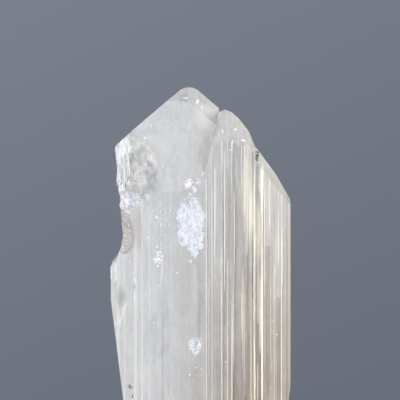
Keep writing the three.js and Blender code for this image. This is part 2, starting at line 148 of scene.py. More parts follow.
# Grains on the surface: middle across and up, spread across and up, smallest and largest, all in
# millimetres, and how many.
DARK_GRAINS = [
    (7.95, 46.2, 0.3, 0.85, 0.16, 0.42, 46),  # pocket where two tips meet
    (-9.75, 14.0, 0.4, 0.45, 0.08, 0.24, 20),
    (-9.45, 12.6, 0.2, 0.35, 0.08, 0.2, 10),
    (-6.55, 17.9, 0.28, 0.1, 0.06, 0.11, 4),
    (-6.4, 21.6, 0.05, 0.2, 0.06, 0.1, 3),
    (1.75, 48.8, 0.02, 0.02, 0.1, 0.13, 1),
    (-5.9, 34.3, 1.6, 1.9, 0.05, 0.1, 9),
    (-3.2, 30.2, 0.5, 0.5, 0.05, 0.09, 3),
]
BROWN_GRAINS = [
    (8.05, 24.2, 0.08, 0.16, 0.1, 0.17, 3),
    (8.05, 18.6, 0.06, 0.22, 0.1, 0.17, 4),
    (-2.2, 17.6, 0.05, 0.05, 0.1, 0.13, 1),
    (0.8, 30.0, 0.05, 0.05, 0.08, 0.12, 1),
]
WHITE_FLECKS = [
    (-2.0, 54.4, 0.6, 0.08, 0.12, 0.3, 12),
    (-0.35, 54.0, 0.28, 0.4, 0.16, 0.4, 10),
    (0.2, 53.1, 0.3, 0.1, 0.1, 0.24, 5),
    (3.1, 49.5, 0.12, 0.25, 0.12, 0.28, 5),
    (4.9, 49.75, 0.2, 0.22, 0.12, 0.28, 6),
    (6.05, 48.3, 0.35, 0.15, 0.14, 0.32, 7),
    (4.1, 46.9, 0.2, 0.12, 0.1, 0.18, 3),
    (-7.8, 48.75, 0.15, 0.2, 0.12, 0.25, 4),
    (-6.9, 50.4, 0.12, 0.12, 0.1, 0.2, 3),
    (-6.1, 37.6, 0.2, 0.25, 0.14, 0.3, 6),
    (-4.2, 38.5, 0.1, 0.15, 0.1, 0.2, 3),
    (-7.3, 34.7, 0.15, 0.3, 0.12, 0.24, 5),
    (-5.9, 32.1, 0.5, 1.7, 0.1, 0.34, 44),
    (-8.75, 32.5, 0.1, 0.12, 0.1, 0.2, 3),
    (-9.9, 31.3, 0.1, 0.2, 0.1, 0.2, 3),
    (-3.15, 30.0, 0.12, 0.18, 0.12, 0.26, 4),
    (-1.5, 31.5, 0.25, 0.12, 0.1, 0.2, 4),
    (-5.7, 28.2, 0.4, 0.05, 0.08, 0.14, 4),
    (-6.4, 23.0, 0.2, 0.05, 0.08, 0.16, 3),
    (-0.5, 16.8, 0.12, 0.05, 0.1, 0.2, 2),
    (0.1, 16.7, 0.05, 0.05, 0.1, 0.18, 1),
    (-1.5, 15.85, 0.22, 0.05, 0.12, 0.2, 4),
    (10.7, 21.2, 0.05, 0.05, 0.2, 0.26, 1),
    (10.15, 23.0, 0.1, 0.2, 0.08, 0.14, 3),
    (3.55, 17.6, 0.3, 0.3, 0.08, 0.14, 7),
    (-5.4, 36.4, 2.0, 4.6, 0.06, 0.17, 70),
    (-8.6, 40.6, 1.3, 3.4, 0.06, 0.2, 46),
    (-8.9, 34.0, 1.2, 2.6, 0.06, 0.15, 26),
    (-6.0, 45.0, 2.2, 3.2, 0.05, 0.13, 24),
]

# Crushed chips on the broken places, laid out like the grains.
CRUSHED_CHIPS = [
    (-0.9, 36.3, 1.3, 3.8, 0.05, 0.16, 150),  # bruise
    (-1.9, 36.0, 1.5, 2.6, 0.06, 0.18, 100),
    (-2.85, 35.4, 0.7, 0.75, 0.08, 0.26, 30),  # crumbs at its left
    (-1.4, 31.5, 0.3, 0.3, 0.08, 0.22, 8),
    (-1.55, 42.3, 0.45, 0.6, 0.12, 0.4, 26),  # small steps above it
    (-0.7, 41.3, 0.3, 0.3, 0.12, 0.36, 14),
    (0.35, 43.6, 0.25, 0.35, 0.08, 0.22, 12),
    (-0.7, 19.9, 0.8, 1.6, 0.06, 0.14, 14),  # ring
    (-10.4, 40.0, 0.9, 1.2, 0.12, 0.42, 70),  # foot of the shoulder
    (-8.7, 39.9, 0.42, 1.3, 0.1, 0.32, 30),
    (-11.1, 45.0, 0.9, 3.2, 0.08, 0.22, 60),  # splinters
    (-9.25, 43.35, 0.14, 0.34, 0.05, 0.14, 16),  # crack that climbs to the right across the shoulder
    (-8.85, 43.95, 0.2, 0.26, 0.05, 0.14, 16),
    (-8.35, 44.5, 0.26, 0.22, 0.05, 0.13, 16),
    (-7.8, 45.0, 0.3, 0.2, 0.05, 0.12, 14),
    (-1.95, 42.15, 0.16, 0.7, 0.12, 0.26, 14),  # block beside the small steps
]

# Clouds and veils in the grown crystal, some of them painted highlights and painted shade: centre and radii
# in millimetres, lean in degrees, colour, strength.
VEILS_AND_PAINTED_LIGHT = [
    # Painted cream highlights on the striated faces, where they would mirror the warm strip lamp on the
    # right.
    ((6.6, -6.0, 41.0), (0.95, 3.0, 8.5), 0, "#fffdf0", 1.0),
    ((8.7, -5.0, 42.0), (0.35, 3.0, 4.0), 0, "#fffdf0", 0.7),
    ((8.0, -6.0, 35.5), (0.5, 3.0, 5.5), 0, "#fffbe8", 0.8),
    ((-5.5, -8.0, 31.4), (0.16, 2.0, 3.4), 0, "#ffffff", 0.8),
    ((-7.4, -7.0, 41.8), (2.2, 3.0, 2.8), 0, "#b4b8bb", 0.5),
    ((-8.5, -6.0, 44.0), (0.45, 4.0, 2.8), 41, "#ffffff", 1.0),
    ((-8.8, -6.0, 46.6), (0.8, 4.0, 1.0), 0, "#b9bdc1", 0.5),
    ((-9.3, -6.0, 36.2), (1.7, 4.0, 3.8), 0, "#c2bcb6", 0.5),
    ((-11.3, -4.5, 26.4), (1.1, 4.0, 1.7), 0, "#aeb7b0", 0.8),
    ((-11.0, -4.0, 24.2), (0.35, 5.0, 2.4), 24, "#fbfdff", 1.0),
    ((-1.1, -8.0, 36.6), (1.5, 2.0, 4.3), 0, "#ffffff", 0.8),
    ((-5.5, -6.0, 47.6), (2.8, 4.0, 1.6), 40, "#eef2f6", 0.5),
    ((-0.9, -8.0, 26.5), (0.7, 2.0, 6.0), 0, "#f0f2f5", 0.3),
    ((-7.6, -8.0, 15.6), (1.0, 2.0, 1.6), 0, "#f4f4f2", 0.5),
    ((-1.9, -2.0, 54.6), (1.4, 4.0, 0.9), 0, "#c0c3c6", 0.4),
    # Painted shade on the right edge, dimming the glow that the strip lamp throws on it.
    ((10.8, -4.0, 41.0), (2.1, 4.0, 7.0), 0, "#c0c1bd", 0.75),
    # Painted highlight on the right slope of the highest tip, which mirrors only the grey surround.
    ((1.0, -2.4, 52.2), (2.4, 4.0, 3.4), 0, "#f8fafb", 0.75),
]
VEIL_DRIFT = (1.6, 1.6, 5)  # across how many millimetres noise moves their rims
VEIL_CORE, VEIL_RIM = 0.35, 1.1  # full strength within this share of the radii, and gone beyond that one


# ---------------- nodes and colours

# Options that many nodes share.
COLOURS = {"data_type": "RGBA"}
SMOOTH = {"interpolation_type": "SMOOTHSTEP"}
MULTIPLY = {"operation": "MULTIPLY"}
MULTIPLY_ADD = {"operation": "MULTIPLY_ADD"}


def linear(colour):
    """An sRGB hex value as linear red, green, blue and alpha."""
    parts = [int(colour[place : place + 2], 16) / 255 for place in (1, 3, 5)]
    return (*(part / 12.92 if part <= 0.04045 else ((part + 0.055) / 1.055) ** 2.4 for part in parts), 1.0)


def add_node(tree, kind, inputs=None, options=None):
    """Adds a node, sets its options, and fills or links its inputs.

    A node given as a value links its output, and a colour is given as its sRGB hex value.
    """
    node = tree.nodes.new(kind)
    for option, value in (options or {}).items():
        setattr(node, option, value)
    for key, value in (inputs or {}).items():
        named = [socket for socket in node.inputs if socket.name == key and socket.enabled]
        socket = named[0] if named else node.inputs[key]
        if isinstance(value, str) and value.startswith("#"):
            value = linear(value)
        if isinstance(value, bpy.types.Node):
            value = next(output for output in value.outputs if output.enabled)
        if isinstance(value, bpy.types.NodeSocket):
            tree.links.new(value, socket)
        else:
            socket.default_value = value
    return node


def emptied(owner):
    """Empties the node tree of a material or a world. The result adds nodes to it."""
    owner.use_nodes = True
    owner.node_tree.nodes.clear()
    return functools.partial(add_node, owner.node_tree)


# ---------------- finishes


def veils_and_painted_light(add, place, colour):
    """Lays the clouds and veils over a colour: soft white and grey shapes inside the crystal, and some
    patches of painted highlight and painted shade.
    """
    drawn_out = add("ShaderNodeMapping", {"Vector": place, "Scale": (1.0, 1.0, 0.25)})
    drift = add("ShaderNodeTexNoise", {"Vector": drawn_out, "Scale": 1 / (1.6 * MM), "Detail": 4.0})
    centred = add(
        "ShaderNodeVectorMath", {0: drift.outputs["Color"], 1: (0.5, 0.5, 0.5)}, {"operation": "SUBTRACT"}
    )
    reach = [part * MM for part in VEIL_DRIFT]
    shifted = add("ShaderNodeVectorMath", {0: centred, 1: reach, 2: place}, MULTIPLY_ADD)
    for centre, radii, lean, tint, strength in VEILS_AND_PAINTED_LIGHT:
        away = add(
            "ShaderNodeMapping",
            {
                "Vector": shifted,
                "Location": [part * MM for part in centre],
                "Rotation": (0.0, math.radians(lean), 0.0),
                "Scale": [part * MM for part in radii],
            },
            {"vector_type": "TEXTURE"},
        )
        distance = add("ShaderNodeVectorMath", {0: away}, {"operation": "LENGTH"})
        span = {"From Min": VEIL_CORE, "From Max": VEIL_RIM, "To Min": strength, "To Max": 0.0}
        share = add("ShaderNodeMapRange", {"Value": distance, **span}, SMOOTH)
        colour = add("ShaderNodeMix", {"Factor": share, "A": colour, "B": tint}, COLOURS)
    return colour


def milky_grown(add, place):
    """Grown faces: vitreous, with milky clouds below them and growth bands that run up the prisms.

    The eye sees a soft white that turns warmer and darker towards the lower right, and clear greyer bands
    that are partly painted shade. Painted shade dims the outer edge on the right, and the veils add painted
    highlights and painted shade.
    """
    split = add("ShaderNodeSeparateXYZ", {0: place}).outputs
    rightness = add(
        "ShaderNodeMapRange", {"Value": split["X"], "From Min": -8 * MM, "From Max": 9 * MM}, SMOOTH
    )
    lowness = add(
        "ShaderNodeMapRange",
        {"Value": split["Z"], "From Min": 12 * MM, "From Max": 46 * MM, "To Min": 1.0, "To Max": 0.3},
    )
    warm_share = add("ShaderNodeMath", {0: rightness, 1: lowness}, MULTIPLY)
    colour = add("ShaderNodeMix", {"Factor": warm_share, "A": "#e9edf1", "B": "#c2b8ac"}, COLOURS)
    # The outer edge on the right is darkened with painted shade, and made rougher, to dim the glow that the
    # strip lamp on the right throws on it.
    painted_rim_shade = add(
        "ShaderNodeMapRange",
        {"Value": split["X"], "From Min": 11.9 * MM, "From Max": 12.2 * MM, "To Min": 1.0, "To Max": 0.6},
    )
    # The darkest shade of the bands falls towards the right: partly painted shade on the striated faces.
    darkest_band_and_painted_shade = add("ShaderNodeMapRange", {"Value": rightness, "To Min": 0.97, "To Max": 0.82})
    # Size in millimetres, stretch, detail, roughness and distortion of each unevenness, the part of its
    # range that counts, and the shades at the ends of that part.
    layers = (
        # Growth bands: 0.5 mm wide and many centimetres long, strong on the striated faces, where their
        # darker stripes are partly painted shade for the dimmer light those faces refract.
        (0.5, (1.0, 0.5, 0.012), 3.0, 0.5, 0.0, (0.35, 0.65), (darkest_band_and_painted_shade, 1.0)),
        # Milky clouds 3 mm across, with curdled edges down to 0.2 mm.
        (3, (1.0, 1.0, 0.6), 8.0, 0.65, 0.4, (0.3, 0.7), (0.84, 1.04)),
        # Fine curdled grain, 0.4 mm across and drawn out upwards.
        (0.4, (1.0, 1.0, 0.35), 4.0, 0.5, 0.0, (0.3, 0.7), (0.92, 1.04)),
    )
    uneven = []
    shades = []
    for size, stretch, detail, roughness, distortion, (low, high), (darkest, lightest) in layers:
        drawn_out = add("ShaderNodeMapping", {"Vector": place, "Scale": stretch})
        pattern = {"Vector": drawn_out, "Scale": 1 / (size * MM), "Detail": detail}
        pattern.update({"Roughness": roughness, "Distortion": distortion})
        uneven.append(add("ShaderNodeTexNoise", pattern))
        span = {"From Min": low, "From Max": high, "To Min": darkest, "To Max": lightest}
        shades.append(add("ShaderNodeMapRange", {"Value": uneven[-1], **span}))
    shade = shades[0]
    for further in (*shades[1:], painted_rim_shade):
        shade = add("ShaderNodeMath", {0: shade, 1: further}, MULTIPLY)
    shaded = add("ShaderNodeVectorMath", {0: colour, "Scale": shade}, {"operation": "SCALE"})
    rough = add(
        "ShaderNodeMapRange",
        {"Value": painted_rim_shade, "From Min": 0.6, "From Max": 1.0, "To Min": 0.5, "To Max": 0.2},
    )
    bump = add("ShaderNodeBump", {"Strength": 0.3, "Distance": 0.02 * MM, "Height": uneven[0]})
    colour = veils_and_painted_light(add, place, shaded)
    return {"Base Color": colour, "Roughness": rough, "Transmission Weight": 0.34, "Normal": bump}


def riser_painted_highlight(add, place):
    """Narrow risers between the growth bands: each draws a thin line of painted highlight, a pale colour with
    little transmission.

    The painted highlights are white on the left and turn cream towards the right, a painted warm reflection.
    """
    split = add("ShaderNodeSeparateXYZ", {0: place}).outputs
    rightness = add("ShaderNodeMapRange", {"Value": split["X"], "From Min": 1 * MM, "From Max": 6 * MM})
    darkest, brightest = (
        add("ShaderNodeMix", {"Factor": rightness, "A": white, "B": cream}, COLOURS)
        for white, cream in (("#dce0e3", "#efe8d9"), ("#f4f7fa", "#fffdf5"))
    )
    drawn_out = add("ShaderNodeMapping", {"Vector": place, "Scale": (1.0, 1.0, 0.05)})
    runs = add("ShaderNodeTexNoise", {"Vector": drawn_out, "Scale": 1 / (0.6 * MM), "Detail": 3.0})
    colour = add("ShaderNodeMix", {"Factor": runs, "A": darkest, "B": brightest}, COLOURS)
    return {"Base Color": veils_and_painted_light(add, place, colour), "Roughness": 0.3, "Transmission Weight": 0.05}


def cracked(add, place, size, stretch, detail, distortion, span, colours, relief):
    """The colour and bump of a cracked surface. Both follow the same cracks.

    The cracks have a size in millimetres, a stretch (the smaller, the longer they run upwards), detail,
    distortion, the span of their noise that counts and a dark and a light colour. The relief is the bump's
    strength and its depth in millimetres.
    """
    drawn_out = add("ShaderNodeMapping", {"Vector": place, "Scale": (1.0, 1.0, stretch)})
    pattern = {"Vector": drawn_out, "Scale": 1 / (size * MM), "Detail": detail, "Distortion": distortion}
    cracks = add("ShaderNodeTexNoise", pattern)
    share = add("ShaderNodeMapRange", {"Value": cracks, "From Min": span[0], "From Max": span[1]})
    colour = add("ShaderNodeMix", {"Factor": share, "A": colours[0], "B": colours[1]}, COLOURS)
    bump = add("ShaderNodeBump", {"Strength": relief[0], "Distance": relief[1] * MM, "Height": cracks})
    return colour, bump


def glassy_break(add, place):
    """Shell-like fracture, as glassy as broken glass: it flashes, and shows clear and cracked patches."""
    looks = (0.35, 0.65), ("#c6cace", "#f0f3f6"), (0.35, 0.03)
    colour, bump = cracked(add, place, 1.1, 1.0, 6.0, 0.0, *looks)
    colour = veils_and_painted_light(add, place, colour)
    return {"Base Color": colour, "Roughness": 0.2, "Transmission Weight": 0.26, "Normal": bump}


def fibrous_break(add, place):
    """Splintered danburite: long snow-white fibres with darker gaps between them, 0.3 mm apart."""
    looks = (0.36, 0.56), ("#ccd4df", "#f8fcff"), (0.6, 0.06)
    colour, bump = cracked(add, place, 0.3, 0.14, 4.0, 0.3, *looks)
    return {"Base Color": colour, "Roughness": 0.25, "Transmission Weight": 0.12, "Normal": bump}


def frosted_break(add, place):
    """Crushed danburite: countless tiny cracks turn it snow white with a bluish cast, in 0.3 mm flakes."""
    looks = (0.36, 0.56), ("#b2bbc8", "#e2e8f2"), (0.5, 0.04)
    colour, bump = cracked(add, place, 0.3, 0.45, 5.0, 1.2, *looks)
    return {"Base Color": colour, "Roughness": 0.35, "Transmission Weight": 0.08, "Normal": bump}


def stained_break(add, place):
    """Scaly fracture, dulled by a little iron stain: pale ridges and grey hollows, 0.45 mm apart."""
    tilted = add("ShaderNodeMapping", {"Vector": place, "Rotation": (0.0, 0.9, 0.0)})
    scales = add(
        "ShaderNodeTexWave",
        {"Vector": tilted, "Scale": 0.7 / MM, "Distortion": 14.0, "Detail": 4.0, "Detail Scale": 0.9},
        {"bands_direction": "X"},
    )
    colour = add("ShaderNodeMix", {"Factor": scales, "A": "#b6b3b3", "B": "#d4d4d5"}, COLOURS)
    bump = add("ShaderNodeBump", {"Strength": 0.5, "Distance": 0.04 * MM, "Height": scales})
    return {"Base Color": colour, "Roughness": 0.28, "Transmission Weight": 0.15, "Normal": bump}


# Names of the finishes, in the order of the material slots.
LOOKS = {
    "danburite_grown_milky": milky_grown,
    "danburite_bright_riser": riser_painted_highlight,
    "danburite_glassy_break": glassy_break,
    "danburite_fibrous_break": fibrous_break,
    "danburite_frosted_break": frosted_break,
    "danburite_stained_break": stained_break,
}


def danburite(name):
    """Danburite with one of its finishes. Its refractive index is 1.633, and thick parts look warmer."""
    material = bpy.data.materials.new(name)
    add = emptied(material)
    place = add("ShaderNodeTexCoord").outputs["Object"]
    shader = add("ShaderNodeBsdfPrincipled", {"IOR": 1.633, **LOOKS[name](add, place)})
    absorption = add("ShaderNodeVolumeAbsorption", {"Color": "#e9e6dc", "Density": 20.0})
    add("ShaderNodeOutputMaterial", {"Surface": shader, "Volume": absorption})
    return material


def grain_material(name, dark, light, roughness):
    """Loose mineral grains and chips: opaque, a little uneven from grain to grain."""
    material = bpy.data.materials.new(name)
    add = emptied(material)
    place = add("ShaderNodeTexCoord").outputs["Object"]
    mottle = add("ShaderNodeTexNoise", {"Vector": place, "Scale": 1 / (0.2 * MM)})
    colour = add("ShaderNodeMix", {"Factor": mottle, "A": dark, "B": light}, COLOURS)
    shader = add("ShaderNodeBsdfPrincipled", {"Base Color": colour, "Roughness": roughness})
    add("ShaderNodeOutputMaterial", {"Surface": shader})
    return material


def matte_paper(colour):
    """Unprinted studio paper: flat and even, so it draws no eye."""
    material = bpy.data.materials.new("pale_studio_paper")
    add = emptied(material)
    shader = add("ShaderNodeBsdfPrincipled", {"Base Color": (*colour, 1.0), "Roughness": 0.9})
    add("ShaderNodeOutputMaterial", {"Surface": shader})
    return material


# ---------------- the crystal's surfaces


def growth_directions():
    """Unit normals of the growth faces that danburite shows."""
    directions = []
    for h in range(-2, 3):
        for k in range(-5, 6):
            for l in range(-1, 3):
                normal = Vector((k / CELL_B, -h / CELL_A, l / CELL_C))
                if normal.length > 0:
                    directions.append(normal.normalized())
    return directions


def nearness(point, centre, radii):
    """How deep a point lies in an oval: 1 in its middle, 0 on its rim, negative outside."""
    return 1 - sum(((point[axis] / MM - centre[axis]) / radii[axis]) ** 2 for axis in range(3))


def break_at(point, grown):
    """The broken finish at a point, or None. The rims of the breaks are ragged."""
    ragged = point.copy()
    for size in RAGGED_SIZES:
        ragged += noise.noise_vector(point / (size * MM)) * RAGGED_REACH * MM
    for finish, centre, radii, takes_grown in BREAKS:
        if (takes_grown or not grown) and nearness(ragged, centre, radii) > 0:
            return finish
    return None


PLANE_STEP = 0.05 * MM  # triangles lie in one plane if their planes' offsets agree to this
NORMAL_STEP = 50  # and their normals' parts to one part in this many


def flat_areas(shape):
    """The area of the flat face that each triangle belongs to."""
    areas = collections.defaultdict(float)
    planes = {}
    for face in shape.faces:
        offset = round(face.normal.dot(face.verts[0].co) / PLANE_STEP)
        planes[face] = (*(round(part * NORMAL_STEP) for part in face.normal), offset)
        areas[planes[face]] += face.calc_area()
    return {face: areas[plane] for face, plane in planes.items()}


# What is still to be done with a face.
LEAVE, BREAK, SOFTEN = range(3)

# A face is a grown one if it is flat over more than this area, or if the cosine of the angle between it and
# a growth direction is above this.
GROWN_AREA = 1.2 * MM**2
GROWN_COSINE = 0.9998
RISER_COSINE = 0.99  # the same for a riser, which may be worn
RIM_NEARNESS = -0.2  # the faces round a break are split with it out to here


def mark_work(shape, work, grown_mark):
    """Marks the grown faces, and the faces that are to be broken or softened."""
    directions = growth_directions()
    areas = flat_areas(shape)
    for face in shape.faces:
        middle = face.calc_center_median()
        grown = areas[face] > GROWN_AREA or any(
            face.normal.dot(direction) > GROWN_COSINE for direction in directions
        )
        face[grown_mark] = int(grown)
        reach = math.sqrt(face.calc_area()) / MM
        broken = any(
            (takes_grown or not grown)
            and nearness(middle, centre, [part + reach for part in radii]) > RIM_NEARNESS
            for _, centre, radii, takes_grown in BREAKS
        )
        softened = any(
            nearness(middle, centre, [part + reach for part in radii]) > 0 for centre, radii, _ in WORN_TIPS
        )
        face[work] = BREAK if broken else SOFTEN if softened else LEAVE


def even_out(shape, work, value, zones):
    """Splits the longest edge of the marked triangles again and again, until no zone finds it too long."""
    waiting = []
    order = itertools.count()

    def queue(edge):
        length = edge.calc_length() / MM
        if not any(face[work] == value for face in edge.link_faces):
            return
        middle = (edge.verts[0].co + edge.verts[1].co) / 2
        for longest, centre, radii in zones:
            widened = [part + length / 2 for part in radii]
            if length > longest and nearness(middle, centre, widened) > RIM_NEARNESS:
                heapq.heappush(waiting, (-length, next(order), edge))
                return

    for edge in shape.edges:
        queue(edge)
    while waiting:
        edge = heapq.heappop(waiting)[2]
        sides = [
            (face, next(corner for corner in face.verts if corner not in edge.verts))
            for face in edge.link_faces
        ]
        half, middle = bmesh.utils.edge_split(edge, edge.verts[0], 0.5)
        queue(edge)
        queue(half)
        for face, corner in sides:
            bmesh.utils.face_split(face, middle, corner)
            queue(next(spoke for spoke in middle.link_edges if corner in spoke.verts))


def soften_tips(shape):
    """Rounds the edges of the worn tips, most in the middle of each zone. Points on long edges stay."""
    for centre, radii, rounds in WORN_TIPS:
        shares = {}
        for vertex in shape.verts:
            depth = nearness(vertex.co, centre, radii)
            if depth > 0 and all(edge.calc_length() < 2 * TIP_EDGE * MM for edge in vertex.link_edges):
                shares[vertex] = min(1.0, 3 * depth)
        for _ in range(rounds):
            moved = {}
            for vertex, share in shares.items():
                near = [edge.other_vert(vertex).co for edge in vertex.link_edges]
                moved[vertex] = vertex.co.lerp(sum(near, Vector()) / len(near), 0.5 * share)
            for vertex, place in moved.items():
                vertex.co = place


def facet_height(point, size):
    """Height from about -1 to 1 of small facets of that size, as on crushed crystal."""
    scaled = Vector([point[axis] / (size[axis] * MM) for axis in range(3)])
    middle = noise.voronoi(scaled)[1][0]
    # Each facet has its own tilt and level, looked up at places far apart in the noise.
    tilt = noise.noise_vector(middle * 5.3)
    return tilt.dot(scaled - middle) * 1.6 + noise.noise(middle * 9.1)


def roughen(shape, finish, smoothing, height, size):
    """Smooths the broken faces of one finish and gives the points inside them their relief."""
    inner = [
        vertex
        for vertex in shape.verts
        if all(face.material_index == finish for face in vertex.link_faces)
    ]
    for _ in range(smoothing):
        bmesh.ops.smooth_vert(
            shape, verts=inner, factor=0.5, use_axis_x=True, use_axis_y=True, use_axis_z=True
        )
    shape.normal_update()
    moves = [vertex.normal * height * MM * facet_height(vertex.co, size) for vertex in inner]
    for vertex, move in zip(inner, moves):
        vertex.co += move


def dress_surface(shape):
    """Marks and splits the faces, gives each its finish, softens the tips and roughens the breaks."""
    work = shape.faces.layers.int.new("work")
    grown_mark = shape.faces.layers.int.new("grown")
    mark_work(shape, work, grown_mark)
    even_out(shape, work, BREAK, [(RELIEFS[finish][0], centre, radii) for finish, centre, radii, _ in BREAKS])
    even_out(shape, work, SOFTEN, [(TIP_EDGE, centre, radii) for centre, radii, _ in WORN_TIPS])
    risers = [Vector((side * 2 / CELL_B, -1 / CELL_A, 0)).normalized() for side in (-1, 1)]
    for face in shape.faces:
        middle = face.calc_center_median()
        finish = break_at(middle, face[grown_mark]) if face[work] == BREAK else None
        if finish is not None:
            face.material_index = finish
        elif (
            middle.z > RISER_START * MM
            and any(face.normal.dot(riser) > RISER_COSINE for riser in risers)
            and any(left * MM < middle.x < right * MM for left, right in RISER_SPANS)
        ):
            face.material_index = RISER
        else:
            face.material_index = GROWN
    soften_tips(shape)
    for finish, (_, *values) in RELIEFS.items():
        roughen(shape, finish, *values)


def new_piece(name):
    piece = bpy.data.objects.new(name, bpy.data.meshes.new(name))
    bpy.context.scene.collection.objects.link(piece)
    return piece


def keep_result(piece, modifier):
    """Turns what the modifier makes of the piece into its plain mesh, and removes the modifier."""
    depsgraph = bpy.context.evaluated_depsgraph_get()
    result = bpy.data.meshes.new_from_object(piece.evaluated_get(depsgraph))
    piece.modifiers.remove(modifier)
    piece.data = result


def cut_away(crystal, shape):
    """Cuts the closed shape out of the crystal. The cut faces keep the shape's finish."""
    cutter = new_piece("cutter")
    shape.to_mesh(cutter.data)
    shape.free()
    modifier = crystal.modifiers.new("cut", "BOOLEAN")
    modifier.operation = "DIFFERENCE"
    modifier.solver = "MANIFOLD"
    modifier.object = cutter
    keep_result(crystal, modifier)
    bpy.data.objects.remove(cutter)


# Cross-sections of a riser's wedge: share of its height, and their scale. Both ends are pointed.
WEDGE_RINGS = ((0, 0.02), (0.12, 0.7), (0.3, 1), (0.7, 1), (0.88, 0.7), (1, 0.02))
OVERHANG = 0.12  # how far the wedge stands out in front of the face it cuts, in millimetres


def deepen_risers(crystal):
    """Cuts a long tapered wedge behind each named riser: a taller riser, then a slope back to the tread."""
    shape = bmesh.new()
    carried = shape.faces.layers.int.new("finish")
    lean = (1 / CELL_A) / (2 / CELL_B)
    for foot_x, depth, width, low, high in DEEP_RISERS:
        # The face is looked for just right of the riser's foot.
        start = Vector((foot_x + 0.06, -OUTSIDE, (low + high) / 2)) * MM
        found, place, _, _ = crystal.ray_cast(start, Vector((0, 1, 0)), distance=2 * OUTSIDE * MM)
        if not found:
            raise RuntimeError(f"no face behind the riser at {foot_x} mm")
        rings = []
        for share, scale in WEDGE_RINGS:
            height = (low + (high - low) * share) * MM
            foot = Vector((foot_x * MM, place.y, height))
            out = Vector((-lean, -1, 0)) * OVERHANG * MM
            deep = Vector((lean, 1, 0)) * depth * scale * MM
            away = Vector((width * scale * MM, -OVERHANG * MM, 0))
            rings.append([shape.verts.new(foot + part) for part in (out, deep, away)])
        for lower, upper in zip(rings, rings[1:]):
            for side in range(3):
                following = (side + 1) % 3
                face = shape.faces.new((lower[side], lower[following], upper[following], upper[side]))
                face[carried] = RISER if side == 0 else GROWN
        shape.faces.new(reversed(rings[0]))
        shape.faces.new(rings[-1])
    bmesh.ops.recalc_face_normals(shape, faces=shape.faces)
    bmesh.ops.triangulate(shape, faces=shape.faces)
    cut_away(crystal, shape)


SWELL_SIZE = 2.2  # how far apart the swells of a scoop's rim are, in millimetres
SWELL_REACH = 0.22  # how far they reach, as a share of its smallest radius


def scoop_out(crystal, finish, centre, radii, ripple, seed):
    """Breaks a rippled scoop out of the crystal."""
    shape = bmesh.new()
    bmesh.ops.create_icosphere(shape, subdivisions=5, radius=1)
    carried = shape.faces.layers.int.new("finish")
    size = RELIEFS[finish][-1]
    shift = Vector((seed, 0, 0))
    for vertex in shape.verts:
        place = Vector([centre[axis] + vertex.co[axis] * radii[axis] for axis in range(3)]) * MM
        swell = noise.noise_vector(place / (SWELL_SIZE * MM) + shift) * SWELL_REACH * min(radii)
        rise = vertex.co.normalized() * facet_height(place + shift, size) * ripple
        vertex.co = place + (swell + rise) * MM
    for face in shape.faces:
        face[carried] = finish
    cut_away(crystal, shape)


def drop_loose_shells(shape):
    """Deletes the tiny closed shells that the cuts leave beside or inside the crystal."""
    shells = []
    unseen = set(shape.faces)
    while unseen:
        shell = {unseen.pop()}
        front = list(shell)
        while front:
            near = {face for edge in front.pop().edges for face in edge.link_faces} - shell
            shell |= near
            front += near
        unseen -= shell
        shells.append(shell)
    largest = max(shells, key=len)
    loose = [face for face in shape.faces if face not in largest]
    bmesh.ops.delete(shape, geom=loose, context="FACES")


# ---------------- striae and grains

# Names of the sizes of a stria and of a patch of grains, in the order of their tables.
STRIA_SIZES = ("Left", "Right", "Low", "High", "Shortest", "Longest", "Width", "Relief")
GRAIN_SIZES = ("Across", "Up", "Spread Across", "Spread Up", "Smallest", "Largest")

RAY_LENGTH = 2 * OUTSIDE * MM
LEAN = 0.02  # a face with a stria may lean this much, measured as the upward part of its normal
ABOVE = 80 * MM  # higher than every tip
BEHIND = 0.4 * MM  # how far behind the face the roof over a stria is looked for
ROOF_GAP = 0.3 * MM  # from the roof down to the stria's end
LOWEST_FOOT = 2.6 * MM  # the chipped rim of the base ends here
SHORTEST_STRIA = 2 * MM


def sized_tree(name, inputs):
    """A tree of geometry nodes whose result is a mesh, what adds nodes to it, and its inputs' sockets.

    The inputs are given as their names and kinds.
    """
    tree = bpy.data.node_groups.new(name, "GeometryNodeTree")
    add = functools.partial(add_node, tree)
    for label, kind in inputs.items():
        tree.interface.new_socket(label, in_out="INPUT", socket_type="NodeSocket" + kind)
    tree.interface.new_socket("Geometry", in_out="OUTPUT", socket_type="NodeSocketGeometry")
    return tree, add, add("NodeGroupInput").outputs


